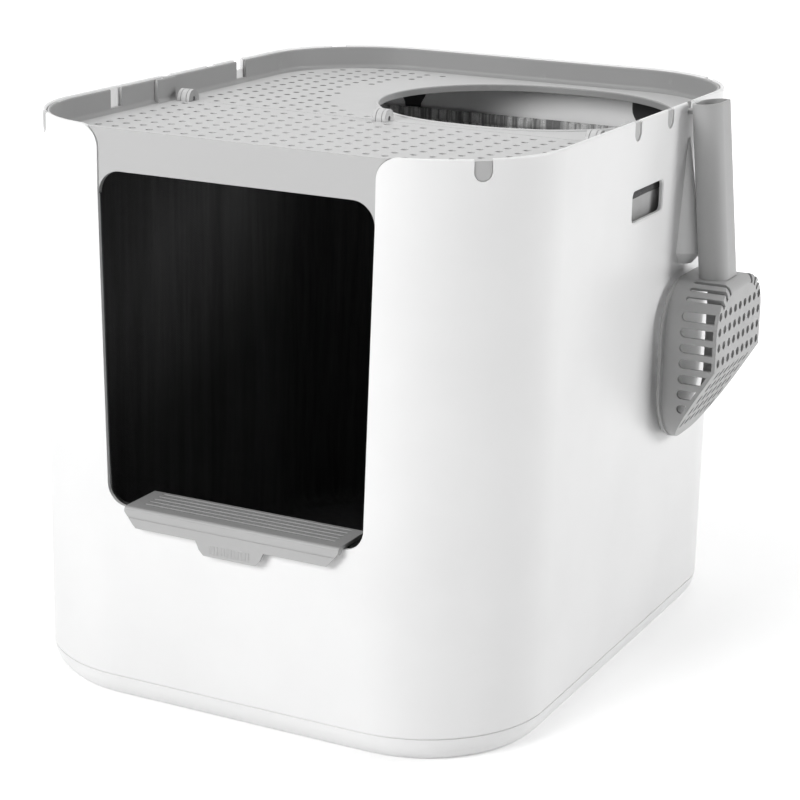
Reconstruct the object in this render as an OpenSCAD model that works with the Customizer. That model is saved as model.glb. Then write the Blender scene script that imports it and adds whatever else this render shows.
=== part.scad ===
// Top entry litter box. A tall tub with a low front entry stands on the floor. A lid in two
// hinged halves sits inside its rim: the front half folds back, the rear half has the oval entry.
// A liner bag hangs inside, a sill clips over the front wall, a scoop hooks over the right rim.
// Millimetres. Z is up, the front faces -Y, the origin is on the floor under the middle.

/* [Tub] */
// Width of the tub
tub_w = 430; // [400:5:480]
// Length of the tub, front to back
tub_l = 530; // [510:5:600]
// Height of the tub
tub_h = 455; // [445:5:520]
// Plan radius of the tub's corners
corner_r = 104; // [98:1:112]
// Wall of the tub
wall = 3.2; // [2.6:0.1:3.6]
// Thickness of the tub's floor
floor_t = 4; // [3:0.5:5]
// Height of the curved foot band
foot_h = 20; // [17:1:22]
// Radius of the foot band's curve
foot_r = 23.7; // [23:0.1:28]
// Width and depth of the fine line above the foot band
foot_line = 0.8; // [0.5:0.1:1.2]

/* [Front entry] */
// Width of the front entry at its foot
entry_w = 222; // [210:2:226]
// Width of the front entry at its top
entry_top_w = 232; // [226:2:236]
// Height of the front wall under the entry
entry_z = 162; // [150:1:190]
// Radius of the entry's lower corners
entry_r = 17; // [12:1:18]
// Radius of the flare at the entry's upper corners
flare_r = 17; // [12:1:18]

/* [Hand slots and notches] */
// Length of a hand slot
grip_l = 66; // [50:1:80]
// Height of a hand slot
grip_h = 25; // [20:1:30]
// Distance from the tub's middle to a hand slot's middle
grip_y = 9; // [0:1:15]
// Distance from the tub's top to a hand slot's top
grip_drop = 55; // [50:1:70]
// Corner radius of a hand slot
grip_r = 5; // [3:1:8]
// Width of the bevel round a hand slot
grip_bevel = 1; // [0.5:0.1:1.5]
// Distance of the front side lugs in front of the tub's middle
lug_front = 19; // [18:0.5:20]
// Distance of the rear side lugs behind the tub's middle
lug_rear = 52; // [50:1:54]
// Width of the notches that the lid's lugs sit in
notch_w = 14; // [12:1:16]
// Depth of the notches that the lid's lugs sit in
notch_d = 16; // [15:1:18]
// Width of the notch that the scoop hooks into
hook_notch_w = 15.6; // [14:0.2:18]
// Depth of the notch that the scoop hooks into
hook_notch_d = 10; // [8:1:12]
// Distance of the scoop and its notch behind the tub's middle
scoop_y = 98; // [92:1:100]

/* [Lid] */
// Gap between the lid and the tub
lid_gap = 0.5; // [0.4:0.1:0.8]
// Thickness of the lid's floor
lid_t = 2.5; // [2:0.1:3]
// Distance from the tub's top down to the lid's floor
lid_drop = 21; // [19:0.5:24]
// Distance from the tub's top down to the lid's rim
rim_drop = 1.5; // [1:0.1:2.5]
// Thickness of the lid's rim
rim_t = 2.4; // [2:0.1:2.6]
// Size of the cove at the foot of the rim
cove = 4; // [3:0.5:4.5]
// Width of the gaps in the rim
rim_gap_w = 16; // [14:1:18]
// Distance of the front half's rim gaps in front of the tub's middle
rim_gap_front = 100.5; // [98:0.5:106]
// Height of the front skirt under the lid's floor
skirt_h = 12; // [8:1:20]
// Thickness of the front skirt
skirt_t = 2.7; // [2.4:0.1:2.9]
// Radius of the skirt's lower corners
skirt_r = 18; // [12:1:20]

/* [Hinge] */
// Distance of the hinge line behind the tub's middle
hinge_y = -14.5; // [-18:0.5:-12]
// Height of the hinge line over the lid's floor
hinge_rise = 2; // [1.8:0.1:2.4]
// Gap between the two halves of the lid
seam = 1; // [0.8:0.1:1.4]
// Radius of a hinge knuckle
knuckle_r = 7.8; // [7:0.1:8]
// Width of the front half's leaf in a knuckle
leaf_front_w = 5; // [4:0.5:7]
// Width of each of the rear half's leaves in a knuckle
leaf_rear_w = 3; // [2.5:0.5:4]
// Gap between the leaves
leaf_gap = 0.4; // [0.3:0.1:0.6]
// Distance of the middle knuckle to the right of the tub's middle
knuckle_x = -8; // [-10:1:0]
// Distance from the tub's side to an outer knuckle, before that shift
knuckle_inset = 29; // [28:1:40]
// Radius of a hinge pin
pin_r = 2; // [1.6:0.1:2.4]
// Radial gap round a pin in the rear half's leaves
pin_seat_gap = 0.04; // [0.02:0.01:0.06]
// Radial gap round a pin in the front half's leaf
pin_run_gap = 0.08; // [0.06:0.01:0.1]

/* [Oval entry] */
// Distance of the oval's middle to the right
oval_x = 61; // [56:1:64]
// Distance of the oval's middle behind the tub's middle
oval_y = 114; // [112:1:116]
// Radius of the oval's ends
oval_r = 115; // [104:1:116]
// Length of the oval's straight sides
oval_straight = 20; // [10:1:24]
// Height of the oval's lip
lip_h = 6; // [5:0.5:7]
// Thickness of the oval's lip
lip_t = 2.5; // [2:0.1:3]
// Height of the lip over the lid's floor
lip_rise = 1.5; // [1.3:0.1:2]

/* [Perforation] */
// Diameter of a hole in the lid
vent_d = 6; // [4:0.5:8]
// Distance between two holes in the lid
vent_pitch = 16; // [14:1:20]
// Distance of the columns of holes to the right of the tub's middle
vent_shift = 4; // [0:1:6]
// Distance from the hinge line back to the first row
vent_rear_start = 11.2; // [10.8:0.1:16]
// Distance from the hinge line forward to the first row
vent_front_start = 14.8; // [12:0.1:20]
// Distance kept free between a hole's middle and the cove
vent_margin = 8; // [6:1:12]
// Radius of the plain field round the oval
vent_field_r = 145.3; // [135:0.1:150]
// Distance of the plain field's middle to the left of the oval's
vent_field_left = 26; // [20:1:28]
// Distance of the plain field's middle behind the oval's
vent_field_back = 16; // [8:1:18]

/* [Liner] */
// Gap between the liner and the tub's wall
liner_gap = 4.5; // [4:0.1:5]
// Thickness of the liner's cloth
liner_t = 2; // [1.5:0.1:2.5]
// Distance from the tub's top down to the liner's edge
liner_drop = 56; // [50:1:62]
// Height of the binding on the liner's edge
binding_h = 8; // [6:1:10]
// Thickness of the binding's cloth
binding_t = 0.8; // [0.6:0.1:1]
// Gap kept round cloth
cloth_gap = 0.3; // [0.2:0.05:0.4]
// Distance by which the liner's opening is wider than the entry, each side
liner_open = 4; // [3:0.5:6]
// Distance from the tub's side to the middle of a hanging tab
tab_inset = 100; // [97:1:107]
// Width of a hanging tab
tab_w = 22; // [16:1:24]
// Width of a hanging tab's stem
tab_stem_w = 10; // [8:1:14]
// Radius of a peg for a hanging tab
peg_r = 3; // [2.5:0.1:3.5]

/* [Sill] */
// Length of the sill
sill_l = 186; // [160:2:186]
// Distance of the sill's middle to the right of the tub's middle
sill_x = 2; // [0:0.5:2]
// Thickness of the sill's tread
sill_t = 3; // [2:0.2:3.4]
// Distance from the tub's front to the tread's back edge
sill_depth = 35; // [25:1:40]
// Distance by which the sill's nose stands off the tub's front
sill_nose = 8; // [7:0.5:10]
// Height of the sill's apron
apron_h = 13; // [12:1:20]
// Distance by which the apron's ends lean in
apron_lean = 7; // [2:1:10]
// Thickness of the apron and the inner leg
apron_t = 2.4; // [2:0.1:2.6]
// Width of the finger tab at its root
pull_w = 59; // [50:1:70]
// Height of the finger tab
pull_h = 11; // [9:1:16]
// Number of grooves in the tread
groove_n = 5; // [4:1:6]
// Distance between two grooves
groove_pitch = 6.5; // [6:0.1:7]
// Width of a groove
groove_w = 1.6; // [1:0.1:2]
// Depth of a groove
groove_d = 0.8; // [0.5:0.1:1]
// Distance from the sill's end to the end of a groove
groove_inset = 10; // [6:1:30]
// Width of the fine line along the apron
apron_line = 0.8; // [0.5:0.1:1.2]

/* [Scoop] */
// Width of the handle, along the tub's side
handle_w = 42; // [36:1:46]
// Thickness of the handle, away from the tub's side
handle_t = 25; // [22:1:26]
// Wall of the handle and the head
scoop_wall = 2.5; // [2:0.1:3]
// Lean of the handle, its top nearer the tub
handle_lean = 5.7; // [5:0.1:6]
// Length of the handle above the head
handle_l = 144; // [140:1:146]
// Width of the head inside its flange
head_w = 111; // [106:1:116]
// Height of the head
head_h = 137; // [130:1:140]
// Depth of the head, away from the tub's side
head_d = 46.5; // [44:0.5:50]
// Radius of the head's shoulders
head_r = 36; // [32:1:38]
// Radius of the head's lower corners
head_low_r = 46; // [40:1:48]
// Height of the head's sloping part
slope_h = 70; // [60:1:74]
// Width of the flange round the head's mouth
flange_w = 6; // [4:1:8]
// Thickness of the flange
flange_t = 2.5; // [2:0.1:3]
// Gap between the tub's side and the head
scoop_gap = 5.5; // [5:0.1:6]
// Distance between two holes in the head
sieve_pitch = 12; // [11:0.1:13]
// Diameter of a hole in the head
sieve_d = 7; // [5:0.1:7.4]
// Width of the slits over the head's shoulders
slit_w = 4.2; // [3:0.1:5]
// Width of the hook
hook_w = 12; // [8:1:13]
// Thickness of the hook
hook_t = 3; // [2.4:0.1:3.2]
// Length of the hook's lip
hook_lip = 5; // [4:0.5:6]
// Radius of the cone that the handle rests against
dock_r = 16; // [12:1:18]
// Distance from the tub's top down to the cone's tip
dock_drop = 30; // [26:1:34]
// Height of the cone
dock_h = 93; // [84:1:96]
// Height of the cone's foot
dock_foot = 10; // [6:1:14]

/* [Hidden] */
$fn = 96;
white = [0.95, 0.95, 0.95];
lid_grey = [0.80, 0.80, 0.80];
scoop_grey = [0.66, 0.66, 0.66];
charcoal = [0.12, 0.12, 0.13];

// Middle of the plan's rear right corner, which every swept profile turns about
corner_x = tub_w / 2 - corner_r;
corner_y = tub_l / 2 - corner_r;
// Profile distances, measured outward from the corner's middle
wall_in = corner_r - wall;
rim_out = wall_in - lid_gap;
rim_in = rim_out - rim_t;
joggle_out = rim_in - lid_gap;
joggle_in = joggle_out - rim_t;
foot_x = corner_r - foot_r;
// Levels
lid_top = tub_h - lid_drop;
lid_low = lid_top - lid_t;
rim_top = tub_h - rim_drop;
hinge_z = lid_top + hinge_rise;
skirt_low = lid_top - skirt_h;
tub_front = -tub_l / 2;
top_x = entry_top_w / 2;
// Hinge
joggle_end = 26;
tongue_r = 23;
rear_cove_start = 22;
pocket_gap = 0.6;
knuckle_w = leaf_front_w + 2 * leaf_rear_w + 2 * leaf_gap;
knuckle_pitch = tub_w / 2 - knuckle_inset;
knuckle_xs = [knuckle_x - knuckle_pitch, knuckle_x, knuckle_x + knuckle_pitch];
// Lugs of the lid
lug_w = notch_w - 2 * lid_gap;
lug_recess = 1;
lug_low = tub_h - notch_d + 0.3;
// Liner
liner_out = wall_in - liner_gap;
liner_in = liner_out - liner_t;
liner_arc = liner_out - foot_x;
liner_low = floor_t + cloth_gap;
liner_arc_z = liner_low + liner_arc;
liner_top = tub_h - liner_drop;
liner_front_z = entry_z - 2;
bind_out = liner_out + cloth_gap + binding_t;
bind_in = liner_in - cloth_gap - binding_t;
tab_t = 1.4;
tab_y = corner_y + bind_out + cloth_gap;
tab_low = liner_top - 15;
tab_top = lid_low - 3.5;
tab_x = tub_w / 2 - tab_inset;
peg_z = liner_top + 20;
// Sill
sill_low = entry_z + 0.3;
sill_top = sill_low + sill_t;
nose_r = sill_t;
leg_y = tub_front + wall + 0.5;
leg_h = 14;
groove_l = sill_l - 2 * groove_inset;
// Scoop
handle_top_z = tub_h + 1;
handle_top_x = tub_w / 2 + handle_t / 2 + 4.5;
head_back = tub_w / 2 + scoop_gap;
head_face = head_back + head_d;
head_top = handle_top_z - handle_l * cos(handle_lean) + 1;
head_low = head_top - head_h;
knee_z = head_low + slope_h;
slope_run = slope_h * 0.6;
slot_start = head_back + 15.5;
slot_h = 7.6;
row_pitch = 13;
hook_z = tub_h - hook_notch_d + 0.4;
hook_in = tub_w / 2 - wall - lid_gap - hook_t;
dock_top_z = tub_h - dock_drop;
dock_mid_z = dock_top_z - dock_h;
dock_low_z = dock_mid_z - dock_foot;

// A profile swept round the rear half of the plan, its sides starting at y
module sweep_half(y) {
    for (m = [0, 1]) mirror([m, 0, 0]) {
        translate([corner_x, corner_y, 0]) rotate([90, 0, 0]) linear_extrude(corner_y - y) children();
        translate([corner_x, corner_y, 0]) rotate_extrude(angle = 90) children();
    }
    translate([-corner_x, corner_y, 0]) rotate([90, 0, 90]) linear_extrude(2 * corner_x) children();
}

// A profile swept along both sides, from y_a back to y_b
module sweep_sides(y_a, y_b) {
    for (m = [0, 1]) mirror([m, 0, 0])
        translate([corner_x, y_b, 0]) rotate([90, 0, 0]) linear_extrude(y_b - y_a) children();
}

// The plan, its edge at a given profile distance
module plan(edge) {
    square([2 * corner_x + 2 * edge, 2 * corner_y], center = true);
    square([2 * corner_x, 2 * corner_y + 2 * edge], center = true);
    for (sx = [-1, 1], sy = [-1, 1]) translate([sx * corner_x, sy * corner_y]) circle(edge);
}

// Half of the plan, behind y for side 1 and in front of it for side -1
module half_plan(edge, y, side) {
    intersection() {
        plan(edge);
        translate([-tub_w, side > 0 ? y : y - tub_l]) square([2 * tub_w, tub_l]);
    }
}

// A flat shape cut or raised in both side walls, from profile distance a to b
module at_sides(y, a, b) {
    for (m = [0, 1]) mirror([m, 0, 0])
        translate([corner_x + a, y, 0]) rotate([90, 0, 90]) linear_extrude(b - a) children();
}

// The same at the two rear corners
module at_rear_corners(a, b) {
    for (m = [0, 1]) mirror([m, 0, 0]) translate([corner_x, corner_y, 0]) rotate([0, 0, 45])
        translate([a, 0, 0]) rotate([90, 0, 90]) linear_extrude(b - a) children();
}

// An upright shape facing the front, from y_a back to y_b
module facing_front(y_a, y_b) {
    translate([0, y_b, 0]) rotate([90, 0, 0]) linear_extrude(y_b - y_a) children();
}

// An upright U with a full round foot
module u_shape(w, low, high) {
    translate([-w / 2, low + w / 2]) square([w, high - low - w / 2]);
    translate([0, low + w / 2]) circle(d = w);
}

module rounded_rect(w, h, r) {
    square([w - 2 * r, h], center = true);
    square([w, h - 2 * r], center = true);
    for (sx = [-1, 1], sy = [-1, 1]) translate([sx * (w / 2 - r), sy * (h / 2 - r)]) circle(r);
}

module stadium(l, w) {
    square([l - w, w], center = true);
    for (s = [-1, 1]) translate([s * (l - w) / 2, 0]) circle(d = w);
}

// The front entry's outline, its bottom at low, wider by grow each side and then drawn in by c
module entry_shape(c, grow, low) {
    foot = entry_w / 2 + grow;
    head = top_x + grow;
    lean_top = skirt_low - skirt_r;
    polygon([[c - foot, low + entry_r], [foot - c, low + entry_r], [head - c, lean_top],
        [head - c, tub_h + 1], [c - head, tub_h + 1], [c - head, lean_top]]);
    translate([entry_r - foot, low + min(c, 0)]) square([2 * foot - 2 * entry_r, entry_r + 1 - min(c, 0)]);
    for (s = [-1, 1]) translate([s * (foot - entry_r), low + entry_r]) circle(entry_r - c);
}

// The flare where the entry's sides run out at the top
module flare_shape(c) {
    for (m = [0, 1]) mirror([m, 0]) difference() {
        translate([top_x - c - 1, tub_h - flare_r]) square([flare_r + 1, flare_r + 1]);
        translate([top_x + flare_r, tub_h - flare_r]) circle(flare_r + c);
    }
}

// Section of what a wall with a curved foot holds: its curve ends at height z, its bottom is at low
module foot_fill(r, z, low) {
    intersection() {
        translate([0, low]) square([corner_r, z - low]);
        union() {
            translate([0, low]) square([foot_x, z - low]);
            translate([foot_x, z]) circle(r);
        }
    }
}

// Section of the tub's wall, foot and floor
module tub_section() {
    difference() {
        union() {
            foot_fill(foot_r, foot_h, 0);
            translate([0, foot_h]) square([corner_r, tub_h - foot_h - wall / 2]);
            translate([corner_r - wall / 2, tub_h - wall / 2]) circle(d = wall);
        }
        foot_fill(foot_r - wall, foot_h, floor_t);
        translate([0, foot_h]) square([wall_in, tub_h]);
        translate([corner_r - foot_line, foot_h - foot_line / 2]) square([foot_line + 1, foot_line]);
    }
}

// The rest for the scoop's handle: a half cone on the right side
module dock() {
    translate([tub_w / 2 - 1, scoop_y, 0]) rotate([0, 0, -90]) rotate_extrude(angle = 180)
        polygon([[0, dock_low_z], [dock_r / 2 + 1, dock_low_z], [dock_r + 1, dock_mid_z],
            [2, dock_top_z], [0, dock_top_z]]);
}

// Pegs for the hanging tabs, ending inside the tabs' holes
module liner_pegs() {
    peg_out = corner_y + wall_in + 1;
    for (s = [-1, 1]) translate([s * tab_x, peg_out, peg_z])
        rotate([90, 0, 0]) cylinder(r = peg_r, h = peg_out - tab_y - tab_t / 4);
}

module base_shell() {
    color(white) {
        difference() {
            union() {
                for (f = [0, 1]) mirror([0, f, 0]) sweep_half(0) tub_section();
                translate([-corner_x, -corner_y, 0]) cube([2 * corner_x, 2 * corner_y, floor_t]);
                dock();
            }
            facing_front(tub_front - 1, tub_front + 20) {
                entry_shape(0, 0, entry_z);
                flare_shape(0);
            }
            at_sides(grip_y, wall_in - 1, corner_r + 1)
                translate([0, tub_h - grip_drop - grip_h / 2]) rounded_rect(grip_l, grip_h, grip_r);
            at_sides(grip_y, corner_r - grip_bevel / 2, corner_r + 1)
                translate([0, tub_h - grip_drop - grip_h / 2])
                    rounded_rect(grip_l + 2 * grip_bevel, grip_h + 2 * grip_bevel, grip_r + grip_bevel);
            for (y = [-lug_front, lug_rear])
                at_sides(y, wall_in - 1, corner_r + 1) u_shape(notch_w, tub_h - notch_d, tub_h + 1);
            for (f = [0, 1]) mirror([0, f, 0])
                at_rear_corners(wall_in - 1, corner_r + 1) u_shape(notch_w, tub_h - notch_d, tub_h + 1);
            at_sides(scoop_y, wall_in - 1, corner_r + 1)
                translate([0, tub_h - hook_notch_d / 2 + 1])
                    rounded_rect(hook_notch_w, hook_notch_d + 2, 2);
        }
        liner_pegs();
    }
}

// Section of the lid's rim with the cove at its foot, its inner face at a given distance
module rim_section(inner, with_cove) {
    translate([inner, lid_low]) square([rim_t, rim_top - lid_low - rim_t / 2]);
    translate([inner + rim_t / 2, rim_top - rim_t / 2]) circle(d = rim_t);
    if (with_cove) difference() {
        translate([inner - cove, lid_top - lid_t / 2]) square([cove + rim_t / 2, cove + lid_t / 2]);
        translate([inner - cove, lid_top + cove]) circle(cove);
    }
}

// Whether a hole at x, y would cut into a knuckle
function at_knuckle(x, y) = abs(y - hinge_y) < knuckle_r + 5
    && min([for (k = knuckle_xs) abs(x - k)]) < knuckle_w / 2 + 5;

// Whether a place lies in the plain field round the oval
function in_field(x, y) = x > oval_x
    || norm([max(0, oval_x - vent_field_left - x), y - oval_y - vent_field_back]) < vent_field_r;

// Rows and columns of holes over half of the lid
module vents(side) {
    cols = floor((corner_x + rim_in) / vent_pitch);
    rows = floor(tub_l / 2 / vent_pitch);
    start = side > 0 ? vent_rear_start : vent_front_start;
    reach = rim_in - cove - vent_margin;
    for (i = [-cols:cols], j = [0:rows]) {
        x = i * vent_pitch + vent_shift;
        y = hinge_y + side * (start + j * vent_pitch);
        dx = max(0, abs(x) - corner_x);
        dy = max(0, abs(y) - corner_y);
        on_lid = abs(y) < corner_y + reach && norm([dx, dy]) < reach;
        plain = side > 0 && in_field(x, y);
        if (on_lid && !plain && !at_knuckle(x, y)) translate([x, y]) circle(d = vent_d, $fn = 32);
    }
}

// Pockets in a lid's floor round the other half's leaves
module leaf_pockets(side) {
    reach = knuckle_r + pocket_gap;
    for (x = knuckle_xs) {
        if (side > 0)
            translate([x - leaf_front_w / 2 - leaf_gap, hinge_y - 1])
                square([leaf_front_w + 2 * leaf_gap, reach + 1]);
        else
            for (s = [-1, 1])
                translate([x + s * (leaf_front_w / 2 + leaf_gap + leaf_rear_w / 2), hinge_y - reach / 2 + 0.5])
                    square([leaf_rear_w + 2 * leaf_gap, reach + 1], center = true);
    }
}

module leaf(x, w) {
    translate([x - w / 2, hinge_y, hinge_z]) rotate([0, 90, 0]) cylinder(r = knuckle_r, h = w);
}

module pin_bores(gap) {
    translate([-tub_w / 2, hinge_y, hinge_z]) rotate([0, 90, 0]) cylinder(r = pin_r + gap, h = tub_w);
}

// A profile swept round the oval entry
module sweep_oval() {
    for (f = [0, 1]) translate([oval_x, oval_y, 0]) rotate([0, 0, 180 * f]) {
        translate([oval_straight / 2, 0, 0]) rotate([0, 0, -90]) rotate_extrude(angle = 180) children();
        translate([-oval_straight / 2, 0, 0]) rotate([90, 0, 90]) linear_extrude(oval_straight) children();
    }
}

module oval_lip_section() {
    low = lid_top + lip_rise - lip_h;
    translate([oval_r, low]) square([lip_t, lip_h - lip_t / 2]);
    translate([oval_r + lip_t / 2, low + lip_h - lip_t / 2]) circle(d = lip_t);
}

module oval_shape(r) {
    translate([oval_x, oval_y]) stadium(oval_straight + 2 * r, 2 * r);
}

module rear_lid() {
    seam_y = hinge_y + seam / 2;
    color(lid_grey) difference() {
        union() {
            translate([0, 0, lid_low]) linear_extrude(lid_t) difference() {
                half_plan(rim_out, seam_y, 1);
                oval_shape(oval_r + lip_t / 2);
                vents(1);
                leaf_pockets(1);
            }
            sweep_half(seam_y) rim_section(rim_in, false);
            difference() {
                sweep_half(hinge_y + rear_cove_start) rim_section(rim_in, true);
                translate([0, 0, lid_top - lid_t]) linear_extrude(lid_t + lip_rise) oval_shape(oval_r + 1);
            }
            intersection() {
                sweep_sides(hinge_y - tongue_r - 1, seam_y) rim_section(rim_in, false);
                translate([-tub_w / 2, hinge_y, hinge_z]) rotate([0, 90, 0]) cylinder(r = tongue_r, h = tub_w);
            }
            sweep_oval() oval_lip_section();
            for (x = knuckle_xs, s = [-1, 1])
                leaf(x + s * (leaf_front_w / 2 + leaf_gap + leaf_rear_w / 2), leaf_rear_w);
            for (y = [-lug_front, lug_rear])
                at_sides(y, rim_out - rim_t / 2, corner_r - lug_recess) u_shape(lug_w, lug_low, rim_top);
            at_rear_corners(rim_out - rim_t / 2, corner_r - lug_recess) u_shape(lug_w, lug_low, rim_top);
        }
        pin_bores(pin_seat_gap);
        at_sides(scoop_y, rim_in - 1, corner_r)
            translate([-rim_gap_w / 2, lid_top + cove]) square([rim_gap_w, tub_h]);
        translate([corner_x + rim_in - 2, scoop_y - rim_gap_w / 2, lid_low - 1])
            cube([rim_t + 4, rim_gap_w, tub_h]);
    }
}

// The front skirt's outline: it fills the entry's top, with rounded corners below
module skirt_shape() {
    difference() {
        union() {
            entry_shape(lid_gap, 0, entry_z);
            flare_shape(lid_gap);
        }
        translate([-tub_w, 0]) square([2 * tub_w, skirt_low - skirt_r]);
        translate([-tub_w, rim_top]) square([2 * tub_w, tub_h]);
        translate([skirt_r + lid_gap - top_x, skirt_low - skirt_r - 1])
            square([2 * (top_x - lid_gap - skirt_r), skirt_r + 1]);
        for (s = [-1, 1]) translate([s * (top_x - lid_gap - skirt_r), skirt_low - skirt_r]) circle(skirt_r);
    }
}

module front_lid() {
    seam_y = hinge_y - seam / 2;
    link_y = hinge_y - joggle_end;
    color(lid_grey) difference() {
        union() {
            translate([0, 0, lid_low]) linear_extrude(lid_t) difference() {
                half_plan(rim_out, seam_y, -1);
                for (s = [-1, 1]) translate([s * (corner_x + joggle_out + 10), link_y + tub_l / 2])
                    square([20, tub_l], center = true);
                vents(-1);
                leaf_pockets(-1);
            }
            mirror([0, 1, 0]) {
                sweep_half(-link_y) rim_section(rim_in, true);
                sweep_sides(-seam_y, -link_y + rim_t) rim_section(joggle_in, true);
                sweep_sides(-link_y, -link_y + rim_t)
                    translate([joggle_in, lid_low]) square([rim_out - joggle_in, rim_top - lid_low - rim_t / 2]);
            }
            intersection() {
                mirror([0, 1, 0]) sweep_half(0)
                    translate([rim_out - rim_t / 2, entry_z]) square([skirt_t + rim_t / 2, tub_h]);
                facing_front(tub_front, -corner_y) skirt_shape();
            }
            for (x = knuckle_xs) leaf(x, leaf_front_w);
            mirror([0, 1, 0]) at_rear_corners(rim_out - rim_t / 2, corner_r - lug_recess)
                u_shape(lug_w, lug_low, rim_top);
        }
        pin_bores(pin_run_gap);
        at_sides(-rim_gap_front, rim_in - 1, corner_r)
            translate([-rim_gap_w / 2, lid_top + cove]) square([rim_gap_w, tub_h]);
    }
}

module hinge_pin(x) {
    l = knuckle_w - 1;
    color([0.6, 0.6, 0.62]) translate([x - l / 2, hinge_y, hinge_z]) rotate([0, 90, 0]) cylinder(r = pin_r, h = l);
}

module left_hinge_pin() {
    hinge_pin(knuckle_xs[0]);
}

module centre_hinge_pin() {
    hinge_pin(knuckle_xs[1]);
}

module right_hinge_pin() {
    hinge_pin(knuckle_xs[2]);
}

// Section of the liner's wall, rounded foot and bottom
module liner_section() {
    difference() {
        union() {
            foot_fill(liner_arc, liner_arc_z, liner_low);
            translate([0, liner_arc_z]) square([liner_out, liner_top - liner_arc_z]);
        }
        foot_fill(liner_arc - liner_t, liner_arc_z, liner_low + liner_t);
        translate([0, liner_arc_z]) square([liner_in, liner_top]);
    }
}

module liner() {
    color(charcoal) difference() {
        union() {
            for (f = [0, 1]) mirror([0, f, 0]) sweep_half(0) liner_section();
            translate([-corner_x, -corner_y, liner_low]) cube([2 * corner_x, 2 * corner_y, liner_t]);
        }
        facing_front(tub_front - 1, tub_front + 40) entry_shape(0, liner_open, liner_front_z);
    }
}

// The band of cloth that binds the liner's open edge, all round the top and the entry
module liner_binding() {
    top = liner_top + cloth_gap + binding_t;
    low = liner_top - binding_h;
    front_low = liner_front_z - binding_h;
    color([0.2, 0.2, 0.21]) difference() {
        union() {
            sweep_half(0) translate([bind_in, low]) square([bind_out - bind_in, top - low]);
            mirror([0, 1, 0]) sweep_half(0) translate([bind_in, low]) square([bind_out - bind_in, top - low]);
            intersection() {
                mirror([0, 1, 0]) sweep_half(0)
                    translate([bind_in, front_low]) square([bind_out - bind_in, top - front_low]);
                facing_front(tub_front, -corner_y) entry_shape(-binding_h, liner_open, liner_front_z);
            }
        }
        facing_front(tub_front - 1, -corner_y)
            entry_shape(cloth_gap + binding_t, liner_open, liner_front_z + cloth_gap + binding_t);
        difference() {
            for (f = [0, 1]) mirror([0, f, 0]) sweep_half(0)
                translate([liner_in - cloth_gap, 0])
                    square([liner_t + 2 * cloth_gap, liner_top + cloth_gap]);
            facing_front(tub_front - 1, -corner_y)
                entry_shape(cloth_gap, liner_open, liner_front_z + cloth_gap);
        }
    }
}

// A hanging tab: a stem behind the liner's edge and a wider top with a hole for its peg
module liner_tab(x) {
    color(charcoal) facing_front(tab_y, tab_y + tab_t) translate([x, 0]) difference() {
        union() {
            translate([-tab_stem_w / 2, tab_low]) square([tab_stem_w, tab_top - tab_low]);
            polygon([[-tab_stem_w / 2, liner_top + 4], [tab_stem_w / 2, liner_top + 4],
                [tab_w / 2, liner_top + 14], [tab_w / 2, tab_top],
                [-tab_w / 2, tab_top], [-tab_w / 2, liner_top + 14]]);
        }
        translate([0, peg_z]) circle(peg_r + cloth_gap);
    }
}

module left_liner_tab() {
    liner_tab(-tab_x);
}

module right_liner_tab() {
    liner_tab(tab_x);
}

// Outline of the sill's apron with its finger tab
module apron_shape() {
    low = sill_low - apron_h;
    end = sill_l / 2;
    foot = end - apron_lean;
    pull = pull_w / 2;
    pull_low = low - pull_h;
    polygon([[-end, sill_low + 1], [-end, sill_low - 1], [-foot, low + 3], [3 - foot, low],
        [foot - 3, low], [foot, low + 3], [end, sill_low - 1], [end, sill_low + 1]]);
    polygon([[-pull, low + 1], [-pull, low], [3 - pull, pull_low + 4], [7 - pull, pull_low],
        [pull - 7, pull_low], [pull - 3, pull_low + 4], [pull, low], [pull, low + 1]]);
}

module entry_sill() {
    nose_y = tub_front - sill_nose;
    color(scoop_grey) translate([sill_x, 0, 0]) difference() {
        union() {
            translate([-sill_l / 2, nose_y + nose_r, sill_low]) cube([sill_l, sill_nose + sill_depth - nose_r, sill_t]);
            translate([-sill_l / 2, nose_y + nose_r, sill_top - nose_r]) rotate([0, 90, 0])
                cylinder(r = nose_r, h = sill_l);
            facing_front(nose_y, nose_y + apron_t) apron_shape();
            facing_front(leg_y, leg_y + apron_t)
                translate([-sill_l / 2, sill_low - leg_h]) square([sill_l, leg_h + 1]);
        }
        for (i = [0:groove_n - 1])
            translate([0, tub_front + sill_depth - 4 - i * groove_pitch, sill_top - groove_d])
                linear_extrude(groove_d + 1) stadium(groove_l, groove_w);
        translate([-sill_l, nose_y - 1, sill_low - apron_h / 2 + 1])
            cube([2 * sill_l, 1 + apron_line / 2, apron_line]);
    }
}

// Outline of the scoop's head as seen along X, grown by g, only its sides where g is over 0
module head_outline(g) {
    half = head_w / 2 + g;
    low = head_low - min(g, 0);
    top = head_top + min(g, 0);
    shoulder = head_r + g;
    foot = head_low_r + g;
    translate([scoop_y, 0]) {
        translate([-half, low + foot]) square([2 * half, top - shoulder - low - foot]);
        translate([shoulder - half, top - shoulder]) square([2 * (half - shoulder), shoulder]);
        translate([foot - half, low]) square([2 * (half - foot), foot]);
        for (s = [-1, 1]) {
            translate([s * (half - shoulder), top - shoulder]) circle(shoulder);
            translate([s * (half - foot), low + foot]) circle(foot);
        }
    }
}

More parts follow.
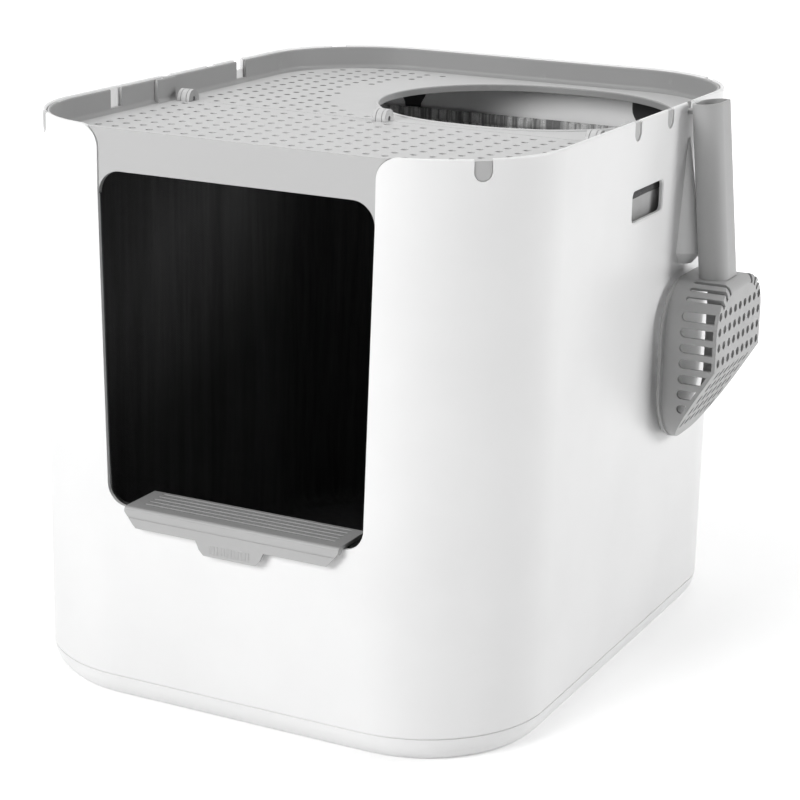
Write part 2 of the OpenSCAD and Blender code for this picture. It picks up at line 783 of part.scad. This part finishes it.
// Side view of the head: flat face, sloping lower part, drawn in by t
module head_side(t) {
    r = 8;
    back = head_back - (t > 0 ? 1 : 0);
    k = t * 1.75;
    low = head_low + (t > 0 ? t : 0);
    difference() {
        polygon([[back, low], [head_face - slope_run - t * 1.2, low], [head_face - t, knee_z + t * 0.55],
            [head_face - t, head_top - t], [back, head_top - t]]);
        difference() {
            translate([head_face - r, head_top - r]) square([r + 1, r + 1]);
            translate([head_face - r, head_top - r]) circle(r - t);
        }
    }
}

module head_solid(t) {
    intersection() {
        translate([head_back - 2, 0, 0]) rotate([90, 0, 90]) linear_extrude(head_d + 4) head_outline(-t);
        translate([0, scoop_y + head_w, 0]) rotate([90, 0, 0]) linear_extrude(2 * head_w) head_side(t);
    }
}

// Slots through the head's side walls, cut short along the slope
module side_slots() {
    edge = 3;
    for (i = [0:6]) {
        z = head_top - 24 - i * row_pitch;
        intersection() {
            translate([slot_start + 40, z]) stadium(80, slot_h);
            polygon([[0, head_low], [head_face - slope_run - edge * 1.2, head_low], [head_face - edge, knee_z + edge / 2],
                [head_face - edge, head_top], [0, head_top]]);
        }
    }
}

// Slits over the head's rounded shoulders, at angle a
module shoulder_slit(a) {
    translate([0, head_w / 2 - head_r, head_top - head_r]) rotate([a, 0, 0])
        translate([slot_start + head_d / 2, head_r - 8, 0]) rotate([-90, 0, 0])
            linear_extrude(12) stadium(head_d, slit_w);
}

// Holes in the head's flat face and slots in its slope
module sieve_holes() {
    cols = floor((head_w / 2 - 7) / sieve_pitch);
    row_z = head_top - 22;
    for (j = [-cols:cols]) {
        for (i = [0:3])
            translate([head_face - 10, scoop_y + j * sieve_pitch, row_z - i * row_pitch]) rotate([0, 90, 0])
                cylinder(d = sieve_d, h = 20, $fn = 32);
        if (abs(j) < cols)
            translate([head_face, scoop_y + j * sieve_pitch, knee_z])
                rotate([0, atan(slope_run / slope_h), 0])
                    for (i = [0:4]) translate([-8, 0, -9 - i * row_pitch]) rotate([90, 0, 90])
                        linear_extrude(16) rotate([0, 0, 90]) stadium(9.5, sieve_d - 1.6, $fn = 32);
    }
}

// The handle's outline across its axis
module handle_shape(t) {
    rotate([0, 0, 90]) stadium(handle_w - 2 * t, handle_t - 2 * t);
}

module scoop() {
    color(scoop_grey) difference() {
        union() {
            difference() {
                union() {
                    head_solid(0);
                    translate([head_back, 0, 0]) rotate([90, 0, 90]) linear_extrude(flange_t) head_outline(flange_w);
                }
                head_solid(scoop_wall);
                translate([0, scoop_y + head_w, 0]) rotate([90, 0, 0]) linear_extrude(2 * head_w) side_slots();
                for (m = [0, 1]) translate([0, scoop_y, 0]) mirror([0, m, 0])
                    for (a = [44, 60, 76]) shoulder_slit(a);
                sieve_holes();
            }
            translate([handle_top_x, scoop_y, handle_top_z]) rotate([0, -handle_lean, 0])
                translate([0, 0, -handle_l]) linear_extrude(handle_l) handle_shape(0);
            translate([hook_in, scoop_y - hook_w / 2, hook_z])
                cube([handle_top_x - handle_t / 2 + scoop_wall - hook_in, hook_w, hook_t]);
            translate([hook_in, scoop_y - hook_w / 2, hook_z - hook_lip]) cube([hook_t, hook_w, hook_lip + 1]);
        }
        translate([handle_top_x, scoop_y, handle_top_z]) rotate([0, -handle_lean, 0])
            translate([0, 0, 3 - handle_l]) linear_extrude(handle_l) handle_shape(scoop_wall);
    }
}

base_shell();
rear_lid();
front_lid();
left_hinge_pin();
centre_hinge_pin();
right_hinge_pin();
liner();
liner_binding();
left_liner_tab();
right_liner_tab();
entry_sill();
scoop();
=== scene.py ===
import math

import bpy
import bmesh
from mathutils import Matrix, Vector, noise


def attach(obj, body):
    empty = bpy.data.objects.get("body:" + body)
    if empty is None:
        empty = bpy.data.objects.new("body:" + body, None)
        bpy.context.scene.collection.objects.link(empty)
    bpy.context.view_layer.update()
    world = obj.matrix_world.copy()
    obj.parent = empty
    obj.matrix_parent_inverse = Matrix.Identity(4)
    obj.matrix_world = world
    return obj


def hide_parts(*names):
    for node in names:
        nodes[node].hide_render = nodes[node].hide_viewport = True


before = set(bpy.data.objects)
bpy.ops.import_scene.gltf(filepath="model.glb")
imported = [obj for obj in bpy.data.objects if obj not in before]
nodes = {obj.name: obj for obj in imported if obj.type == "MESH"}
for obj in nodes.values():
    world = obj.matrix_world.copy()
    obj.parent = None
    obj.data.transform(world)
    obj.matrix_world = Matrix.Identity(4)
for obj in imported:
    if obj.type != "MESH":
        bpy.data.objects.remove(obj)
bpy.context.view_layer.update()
scene = bpy.context.scene

# ---------------------------------------------------------------- camera
AZ, EL, ROLL = math.radians(26.64), math.radians(16.383), math.radians(1.219)
DIST = 1.9073               # from the point it looks at, in metres
SIDE, UP = 0.0051, 0.1948   # that point: to the camera's right of the tub's middle, and above the floor
FOCAL_PX, FRAME_PX, SENSOR_MM = 2253.35, 800, 36
back = Vector((math.sin(AZ) * math.cos(EL), -math.cos(AZ) * math.cos(EL), math.sin(EL)))
level = Vector((math.cos(AZ), math.sin(AZ), 0))
rise = back.cross(level)
right = math.cos(ROLL) * level + math.sin(ROLL) * rise
up = -math.sin(ROLL) * level + math.cos(ROLL) * rise
cam_data = bpy.data.cameras.new("camera")
cam_data.sensor_width = SENSOR_MM
cam_data.lens = FOCAL_PX / FRAME_PX * SENSOR_MM
cam_data.clip_end = 50
cam = bpy.data.objects.new("camera", cam_data)
place = Vector((SIDE * level.x, SIDE * level.y, UP)) + back * DIST
cam.matrix_world = Matrix(((right.x, up.x, back.x, place.x), (right.y, up.y, back.y, place.y),
                           (right.z, up.z, back.z, place.z), (0, 0, 0, 1)))
scene.collection.objects.link(cam)
scene.camera = cam
scene.view_settings.view_transform = "Standard"


# ---------------------------------------------------------------- node trees
class Nodes:
    """Short calls for the node tree of a new material, by its name, or of a material or world that exists."""

    def __init__(self, owner):
        if isinstance(owner, str):
            owner = bpy.data.materials.new(owner)
            owner.use_nodes = True
        self.owner, self.tree = owner, owner.node_tree
        if isinstance(owner, bpy.types.World):
            self.shader = self.tree.nodes["Background"]
        else:
            self.shader = self.tree.nodes["Principled BSDF"]
            self.coord = self.add("ShaderNodeTexCoord")
            self.place = self.coord.outputs["Object"]

    def add(self, kind, **values):
        node = self.tree.nodes.new(kind)
        for key, value in values.items():
            setattr(node, key, value)
        return node

    def put(self, node, socket, value):
        """Links a socket to a node's input, or sets the input to a constant."""
        if isinstance(value, bpy.types.NodeSocket):
            self.tree.links.new(value, node.inputs[socket])
        else:
            node.inputs[socket].default_value = value

    def give(self, socket, value):
        """The same for an input of the tree's shader."""
        self.put(self.shader, socket, value)

    def given(self, socket):
        """What a linked input of the shader gets now."""
        return self.shader.inputs[socket].links[0].from_socket

    def noise(self, scale, detail=2.0, rough=0.5, vector=None):
        n = self.add("ShaderNodeTexNoise")
        self.put(n, "Vector", vector or self.place)
        self.put(n, "Scale", scale)
        self.put(n, "Detail", detail)
        self.put(n, "Roughness", rough)
        return n.outputs["Fac"]

    def ramp(self, value, low, high, to_low=0.0, to_high=1.0, smooth=False):
        n = self.add("ShaderNodeMapRange")
        if smooth:
            n.interpolation_type = "SMOOTHSTEP"
        self.put(n, "Value", value)
        for key, v in (("From Min", low), ("From Max", high), ("To Min", to_low), ("To Max", to_high)):
            self.put(n, key, v)
        return n.outputs["Result"]

    def math(self, op, a, b=0.0):
        n = self.add("ShaderNodeMath", operation=op)
        self.put(n, 0, a)
        self.put(n, 1, b)
        return n.outputs[0]

    def wave(self, along, pitch):
        """A sine along a coordinate, its pitch in metres."""
        return self.math("SINE", self.math("MULTIPLY", along, 2 * math.pi / pitch))

    def mix(self, factor, a, b):
        n = self.add("ShaderNodeMix", data_type="RGBA")
        self.put(n, 0, factor)
        for i, c in ((6, a), (7, b)):
            self.put(n, i, c if isinstance(c, bpy.types.NodeSocket) else (*c, 1.0))
        return n.outputs[2]

    def bump(self, height, strength, distance, normal=None):
        n = self.add("ShaderNodeBump")
        self.put(n, "Height", height)
        self.put(n, "Strength", strength)
        self.put(n, "Distance", distance)
        if normal is not None:
            self.put(n, "Normal", normal)
        return n.outputs["Normal"]

    def axis(self, which):
        n = self.add("ShaderNodeSeparateXYZ")
        self.put(n, 0, self.place)
        return n.outputs[which]

    def outward(self):
        """Above 0 on faces that look away from the tub's upright middle line, below 0 on the others."""
        n = self.add("ShaderNodeVectorMath", operation="MULTIPLY")
        self.put(n, 0, self.coord.outputs["Normal"])
        self.put(n, 1, (1, 1, 0))
        d = self.add("ShaderNodeVectorMath", operation="DOT_PRODUCT")
        self.put(d, 0, n.outputs[0])
        self.put(d, 1, self.place)
        return d.outputs["Value"]

    def shown(self):
        """1 for rays from the camera, also by way of gloss or glass, and 0 for those that light the object."""
        ray = self.add("ShaderNodeLightPath").outputs
        return self.math("MAXIMUM", ray["Is Camera Ray"],
                         self.math("MAXIMUM", ray["Is Glossy Ray"], ray["Is Transmission Ray"]))


def grey(v):
    return (v, v, v)


def times(tone, factor):
    return tuple(c * factor for c in tone)


# ---------------------------------------------------------------- plastic and metal
GRAIN, GRAIN_DEPTH = 1600, 0.00004      # moulded grain: scale of its noise, and depth in metres
SOFT_EDGE = 0.0006                      # radius with which edges are shaded
SHARP_ANGLE = 28                        # degrees between faces that stay a sharp edge

# Grip ribs on the sill's finger tab: where they start and are full, in metres from GRIP_X and above the floor
GRIP_X, GRIP_PITCH, GRIP_DEPTH = 0.002, 0.0030, 0.0004
GRIP_SIDE, GRIP_HEAD, GRIP_FOOT = (0.0185, 0.0175), (0.1476, 0.1468), (0.1404, 0.1412)


def plastic(name, tone, rough):
    """Moulded plastic: fine grain, slow changes of tone, uneven gloss, softened edges."""
    m = Nodes(name)
    m.give("Base Color", m.mix(m.ramp(m.noise(9, 3), 0.35, 0.65), times(tone, 0.965), tone))
    m.give("Roughness", m.ramp(m.noise(55, 4, 0.6), 0.3, 0.7, rough - 0.035, rough + 0.045))
    m.give("Specular IOR Level", 0.5)
    soft = m.add("ShaderNodeBevel", samples=4)
    m.put(soft, "Radius", SOFT_EDGE)
    m.give("Normal", m.bump(m.noise(GRAIN, 1), 0.35, GRAIN_DEPTH, soft.outputs[0]))
    return m.owner


def lid_material():
    """The lid's plastic: scuffed, with painted shade that makes it a tone darker on its outer faces and darker
    still on its inner ones.
    """
    m = Nodes(plastic("lid_plastic", grey(0.60), 0.45))
    # painted shade: by the way a face looks, the rim's inner faces and the outer faces are darkened for the
    # shade that falls on them; the scuffs are wear
    facing = m.outward()
    inner, outer = m.ramp(facing, -0.02, -0.09), m.ramp(facing, 0.10, 0.20)
    shade = m.mix(m.math("MULTIPLY", inner, 0.92), m.given("Base Color"), grey(0.28))
    shade = m.mix(m.math("MULTIPLY", outer, 0.85), shade, grey(0.47))
    scuff = m.ramp(m.noise(38, 5, 0.65), 0.62, 0.75, 0.0, 0.10)
    m.give("Base Color", m.mix(scuff, shade, grey(0.72)))
    return m.owner


def sill_material():
    """The sill's plastic with fine upright grip ribs on its finger tab."""
    m = Nodes(plastic("sill_plastic", grey(0.455), 0.42))
    x, z = m.axis("X"), m.axis("Z")
    span = m.ramp(m.math("ABSOLUTE", m.math("SUBTRACT", x, GRIP_X)), *GRIP_SIDE)
    high = m.math("MULTIPLY", m.ramp(z, *GRIP_HEAD), m.ramp(z, *GRIP_FOOT))
    ribs = m.ramp(m.wave(x, GRIP_PITCH), -0.4, 0.6, smooth=True)
    grip = m.math("MULTIPLY", ribs, m.math("MULTIPLY", span, high))
    m.give("Normal", m.bump(grip, 1.0, GRIP_DEPTH, m.given("Normal")))
    return m.owner


def pin_material():
    m = Nodes(plastic("pin_metal", (0.16, 0.16, 0.165), 0.35))
    m.give("Metallic", 1.0)
    return m.owner


def dress(name, material):
    mesh = nodes[name].data
    mesh.materials.clear()
    mesh.materials.append(material)
    for p in mesh.polygons:
        p.use_smooth = True
    mesh.set_sharp_from_angle(angle=math.radians(SHARP_ANGLE))


for material, names in ((plastic("white_plastic", grey(0.90), 0.32), ["base_shell"]),
                        (lid_material(), ["rear_lid", "front_lid"]),
                        (sill_material(), ["entry_sill"]),
                        (plastic("scoop_plastic", grey(0.40), 0.42), ["scoop"]),
                        (pin_material(), ["left_hinge_pin", "centre_hinge_pin", "right_hinge_pin"])):
    for name in names:
        dress(name, material)


# ---------------------------------------------------------------- cloth
# Where the painted pool of light on the cloth, a pale band, fades in: height, and distance behind the tub's
# middle, in metres
LIT_PATCH_Z, LIT_PATCH_Y = (0.355, 0.380), (0.19, 0.235)


def woven(name, tone, thread, streak=True, ribs=0.0, lining=False):
    """Woven cloth with crossed threads and fine fuzz, and a painted pool of light: a pale band high on the
    rear wall.

    thread and ribs are pitches in metres. The tone varies in upright streaks, or else with the fuzz. With a
    lining, the side that looks away from the tub's middle is pale.
    """
    m = Nodes(name)
    x, y, z = m.axis("X"), m.axis("Y"), m.axis("Z")
    across = m.math("ADD", x, m.math("MULTIPLY", y, 0.83))
    weave = m.math("MULTIPLY", m.wave(across, thread), m.wave(z, thread))
    drawn = m.add("ShaderNodeMapping")
    m.put(drawn, "Vector", m.place)
    m.put(drawn, "Scale", (1, 1, 0.06))
    streaks = m.noise(150, 3, 0.7, drawn.outputs[0])
    fuzz = m.noise(900, 2)

    vary = m.ramp(streaks, 0.32, 0.68) if streak else m.ramp(fuzz, 0.3, 0.7)
    base = m.mix(vary, times(tone, 0.55), times(tone, 1.9))
    speck = m.ramp(m.math("ADD", weave, m.math("MULTIPLY", fuzz, 1.2)), -0.6, 1.6)
    face = m.mix(speck, times(tone, 0.6), base)
    if lining:
        face = m.mix(m.ramp(m.outward(), 0.05, 0.10), face, m.mix(speck, grey(0.34), grey(0.62)))

    # painted light: a pale band high on the rear wall, for the light that falls in through the lid's oval
    # opening
    pale = m.mix(m.ramp(streaks, 0.42, 0.56), grey(0.20), grey(0.88))
    lit_patch_speck = m.ramp(m.math("ADD", weave, m.math("MULTIPLY", fuzz, 2.0)), 0.0, 1.3)
    pale = m.mix(lit_patch_speck, grey(0.30), pale)
    band = m.math("MULTIPLY", m.ramp(z, *LIT_PATCH_Z, smooth=True), m.ramp(y, *LIT_PATCH_Y, smooth=True))
    m.give("Base Color", m.mix(band, face, pale))

    m.give("Roughness", m.ramp(fuzz, 0.3, 0.7, 0.72, 0.92))
    m.give("Specular IOR Level", 0.3)
    m.give("Sheen Weight", 0.25)
    m.give("Sheen Roughness", 0.5)
    height = m.math("ADD", weave, m.math("MULTIPLY", streaks, 1.5))
    if ribs:
        height = m.math("ADD", height, m.wave(across, ribs))
    m.give("Normal", m.bump(height, 0.5, 0.0003))
    return m.owner


def webbing(name, tone, thread):
    """Dark webbing: ribs across it, a little fuzz, paler along the ribs as a painted highlight on their
    crests.
    """
    m = Nodes(name)
    weave = m.math("MULTIPLY", m.wave(m.axis("Z"), thread), m.wave(m.axis("X"), thread * 0.8))
    fuzz = m.noise(1200, 3)
    # painted highlight: the rib crests are paler, as if they catch the light
    lit = m.ramp(m.math("ADD", weave, fuzz), -0.4, 1.8)
    m.give("Base Color", m.mix(lit, times(tone, 0.6), times(tone, 1.7)))
    m.give("Roughness", m.ramp(fuzz, 0.3, 0.7, 0.75, 0.95))
    m.give("Sheen Weight", 0.2)
    m.give("Normal", m.bump(weave, 0.6, 0.0002))
    return m.owner


bag_cloth = woven("bag_cloth", (0.036, 0.036, 0.037), 0.0016, lining=True)
strap_cloth = webbing("strap_cloth", (0.028, 0.028, 0.029), 0.0009)
tape_cloth = woven("tape_cloth", (0.045, 0.045, 0.047), 0.0009, streak=False, ribs=0.0024)


# ---------------------------------------------------------------- the bag's form
# The tub's plan, in metres: the middles of its corners, and its inner wall's distance from them
CORNER_X, CORNER_Y, WALL_IN = 0.111, 0.161, 0.1008
# The bag: its outer face from a corner's middle, its foot and upper edge, its foot's radius, its thickness
BAG_OUT, BAG_LOW, BAG_TOP, BAG_ARC, CLOTH = 0.0963, 0.0043, 0.399, 0.016, 0.0014
BAG_MID = BAG_OUT - CLOTH / 2
# The bag's front opening, 4 mm outside the tub's at its sides and 2 mm below its foot: half widths at its foot
# and head, the foot's height and radius, and the height over which it widens from one to the other
OPEN_FOOT, OPEN_HEAD, OPEN_LOW, OPEN_R, OPEN_RISE = 0.115, 0.120, 0.160, 0.017, 0.227
BAG_COLS, BAG_ROWS, FOOT_ROWS = 480, 46, 6
FLOOR_RINGS, FLOOR_SLACK = 9, 0.0022
DEEP_FOLD, SMALL_FOLD = 0.0045, 0.0016
# Folds begin above FOLD_START, are full FOLD_RISE higher, and flatten over FOLD_HOLD below the bag's top
FOLD_START, FOLD_RISE, FOLD_HOLD = 0.02, 0.10, 0.05


def share_of(part, whole):
    return max(0.0, min(1.0, part / whole))


def plan_point(u, out):
    """A point of the bag's plan and its outward direction.

    u runs from 0 to 1 round the plan from the middle of the front, anticlockwise.
    """
    arc = math.pi / 2 * out
    legs = [CORNER_X, arc, 2 * CORNER_Y, arc, 2 * CORNER_X, arc, 2 * CORNER_Y, arc, CORNER_X]
    d = (u % 1.0) * sum(legs)
    x, y, head = 0.0, -CORNER_Y - out, 0.0
    for i, leg in enumerate(legs):
        step = min(d, leg)
        if i % 2:
            a = step / out
            cx, cy = x - math.sin(head) * out, y + math.cos(head) * out
            x, y = cx + math.sin(head + a) * out, cy - math.cos(head + a) * out
            head += a
        else:
            x, y = x + math.cos(head) * step, y + math.sin(head) * step
        d -= step
        if d <= 0:
            break
    return x, y, math.sin(head), -math.cos(head)


def fold(u, z):
    """How far the cloth hangs in from the wall: upright folds, deeper half way up."""
    lift = share_of(z - FOLD_START, FOLD_RISE)
    loose = share_of(BAG_TOP - z, FOLD_HOLD)
    angle = u * 2 * math.pi
    wave = noise.noise(Vector((math.cos(angle) * 5.2, math.sin(angle) * 5.2, z * 2.2)))
    small = noise.noise(Vector((math.cos(angle) * 17, math.sin(angle) * 17, z * 5 + 3)))
    deep = DEEP_FOLD * max(0.0, wave + 0.25) + SMALL_FOLD * max(0.0, small + 0.2)
    return lift * (0.25 + 0.75 * loose) * deep


def opening_edge(x):
    """Height of the front opening's edge at x, or None beside the opening."""
    x = abs(x)
    if x <= OPEN_FOOT - OPEN_R:
        return OPEN_LOW
    if x < OPEN_FOOT:
        return OPEN_LOW + OPEN_R - math.sqrt(max(0.0, OPEN_R ** 2 - (x - OPEN_FOOT + OPEN_R) ** 2))
    if x < OPEN_HEAD:
        return OPEN_LOW + OPEN_R + (x - OPEN_FOOT) / (OPEN_HEAD - OPEN_FOOT) * OPEN_RISE
    return None


def bag_edge(x, y):
    """Height of the bag's upper edge at a point of its plan."""
    cut = opening_edge(x) if y < -CORNER_Y else None
    return BAG_TOP if cut is None else min(BAG_TOP, cut)


def bag_place(c, r):
    u = c / BAG_COLS
    x, y, nx, ny = plan_point(u, BAG_MID)
    if r < FOOT_ROWS:
        a = math.pi / 2 * r / FOOT_ROWS
        inset = BAG_ARC * (1 - math.sin(a))
        z = BAG_LOW + CLOTH / 2 + BAG_ARC * (1 - math.cos(a))
    else:
        start = BAG_LOW + BAG_ARC
        z = start + (bag_edge(x, y) - start) * ((r - FOOT_ROWS) / (BAG_ROWS - 1 - FOOT_ROWS))
        inset = fold(u, z)
    return Vector((x - nx * inset, y - ny * inset, z))


def loft(columns, rows, place_of):
    """A ring of quads: place_of(column, row) gives each point, and the last column joins the first."""
    bm = bmesh.new()
    grid = [[bm.verts.new(place_of(c, r)) for r in range(rows)] for c in range(columns)]
    for c in range(columns):
        n = (c + 1) % columns
        for r in range(rows - 1):
            bm.faces.new((grid[c][r], grid[n][r], grid[n][r + 1], grid[c][r + 1]))
    return bm, grid


def close_floor(bm, rim):
    """The bag's slack floor inside its foot: rings of quads, and a fan round the middle."""
    rings = [rim]
    for k in range(1, FLOOR_RINGS):
        share = 1 - k / FLOOR_RINGS
        ring = []
        for v in rim:
            x, y = v.co.x * share, v.co.y * share
            lift = FLOOR_SLACK * max(0.0, noise.noise(Vector((x * 14, y * 14, 1.7)))) * (1 - share)
            ring.append(bm.verts.new((x, y, v.co.z + lift)))
        rings.append(ring)
    count = len(rim)
    for outer, inner in zip(rings, rings[1:]):
        for c in range(count):
            n = (c + 1) % count
            bm.faces.new((outer[n], outer[c], inner[c], inner[n]))
    centre = bm.verts.new((0, 0, rim[0].co.z))
    for c in range(count):
        bm.faces.new((rings[-1][(c + 1) % count], rings[-1][c], centre))


def cloth_piece(name, bm, material, thickness):
    """A smooth piece of cloth that rides on the tub, its thickness half to each side."""
    mesh = bpy.data.meshes.new(name)
    bm.normal_update()
    bm.to_mesh(mesh)
    bm.free()
    obj = bpy.data.objects.new(name, mesh)
    scene.collection.objects.link(obj)
    mesh.materials.append(material)
    for poly in mesh.polygons:
        poly.use_smooth = True
    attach(obj, "tub")
    solid = obj.modifiers.new("cloth", "SOLIDIFY")
    solid.thickness = thickness
    solid.offset = 0
    return obj


bm, grid = loft(BAG_COLS, BAG_ROWS, bag_place)
close_floor(bm, [column[0] for column in grid])
bag = cloth_piece("liner_bag", bm, bag_cloth, CLOTH)
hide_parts("liner")


# ---------------------------------------------------------------- binding tape
TAPE, TAPE_H, TAPE_COLS = 0.0007, 0.008, 720    # thickness, height and columns
RIPPLE, RIPPLE_SCALE = 0.0004, 60               # its unevenness: depth, and scale of its noise
# Section over the bag's edge: side of the cloth, and height as a share of the tape's
PROFILE = [(1, -1), (1, -0.5), (1, 0), (0.75, 0.09), (0, 0.13), (-0.75, 0.09), (-1, 0), (-1, -0.5), (-1, -1)]


def tape_place(c, r):
    u = c / TAPE_COLS
    x, y, nx, ny = plan_point(u, BAG_MID)
    z = bag_edge(x, y)
    side, height = PROFILE[r]
    off = side * (CLOTH / 2 + TAPE * 0.9) - fold(u, z)
    off += RIPPLE * noise.noise(Vector((x * RIPPLE_SCALE, y * RIPPLE_SCALE, z * RIPPLE_SCALE + r)))
    return Vector((x + nx * off, y + ny * off, z + height * TAPE_H))


bm, _ = loft(TAPE_COLS, len(PROFILE), tape_place)
tape = cloth_piece("liner_tape", bm, tape_cloth, TAPE)
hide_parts("liner_binding")


# ---------------------------------------------------------------- hanging tabs
TAB_X, TAB_Y, TAB_T = 0.115, 0.2587, 0.0014     # the solid tab's middle, near face and thickness
TAB_SHIFT, TAB_CLOTH, TAB_COLS = 0.0022, 0.0009, 14
HEM, DISH = 0.00022, 0.00025
# Height and half width, from the foot up
TAB_OUTLINE = [(0.384, 0.0074), (0.392, 0.0075), (0.3995, 0.0077), (0.4035, 0.0083), (0.4065, 0.0100),
               (0.4100, 0.0122), (0.4135, 0.0138), (0.4175, 0.0144), (0.4225, 0.0145), (0.4262, 0.0142),
               (0.4276, 0.0130)]


def hanging_tab(side):
    """A tab of cloth that widens upward over its peg, its face dished, with a hem down both edges."""
    bm = bmesh.new()
    foot = TAB_OUTLINE[0][0]
    rows = []
    for z, half in TAB_OUTLINE:
        row = []
        for i in range(TAB_COLS + 1):
            t = i / TAB_COLS * 2 - 1
            hem = HEM * (abs(t) > 0.8)
            dish = DISH * math.cos(t * 2.2) * math.sin((z - foot) * 60)
            x = side * (TAB_X + TAB_SHIFT) + t * half
            wall = math.sqrt(WALL_IN ** 2 - max(0.0, abs(x) - CORNER_X) ** 2)
            wall_y = CORNER_Y + wall - TAB_CLOTH
            row.append(bm.verts.new((x, min(TAB_Y + TAB_T / 2 - dish - hem, wall_y), z)))
        rows.append(row)
    for low, high in zip(rows, rows[1:]):
        for i in range(TAB_COLS):
            bm.faces.new((low[i], low[i + 1], high[i + 1], high[i]))
    name = "left_tab_cloth" if side < 0 else "right_tab_cloth"
    obj = cloth_piece(name, bm, strap_cloth, TAB_CLOTH)
    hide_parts("left_liner_tab" if side < 0 else "right_liner_tab")
    return obj


tabs = [hanging_tab(-1), hanging_tab(1)]

# ---------------------------------------------------------------- stage and light
FLOOR_SIZE, FLOOR_Z = 14, -0.0005
WORLD_LIGHT = 0.17          # the surroundings' strength as light, where they show as 1

bpy.ops.mesh.primitive_plane_add(size=FLOOR_SIZE, location=(0, 0, FLOOR_Z))
floor = bpy.context.object
floor.name = "floor"
m = Nodes("floor_paper")
m.give("Base Color", m.mix(m.noise(3, 2), grey(0.90), grey(0.92)))
m.give("Roughness", 0.9)
m.give("Specular IOR Level", 0.1)
far = m.add("ShaderNodeVectorMath", operation="LENGTH")
m.put(far, 0, m.place)
glow = m.ramp(far.outputs["Value"], 0.35, 1.5, 0.30, 1.0, smooth=True)
m.give("Emission Color", (1.0, 1.0, 1.0, 1.0))
m.give("Emission Strength", m.math("MULTIPLY", m.shown(), glow))
floor.data.materials.append(m.owner)

world = bpy.data.worlds.new("studio")
world.use_nodes = True
scene.world = world
w = Nodes(world)
w.give("Color", (1, 1, 1, 1))
w.give("Strength", w.ramp(w.shown(), 0.0, 1.0, WORLD_LIGHT, 1.0))


def lamp(name, place, aim_z, size, power):
    """A square lamp that looks at a point above the middle of the floor."""
    data = bpy.data.lights.new(name, "AREA")
    data.shape = "RECTANGLE"
    data.size, data.size_y, data.energy = size, size, power
    obj = bpy.data.objects.new(name, data)
    obj.location = place
    obj.rotation_euler = (Vector((0, 0, aim_z)) - Vector(place)).to_track_quat("-Z", "Y").to_euler()
    scene.collection.objects.link(obj)


lamp("front_box", (-0.8, -2.75, 1.5), 0.25, 1.3, 58)
lamp("side_box", (2.7, 1.15, 1.4), 0.25, 1.5, 43)
lamp("back_box", (-2.6, 1.6, 0.9), 0.2, 1.2, 9)
lamp("top_box", (-0.3, 0.3, 2.8), 0.2, 2.0, 28)
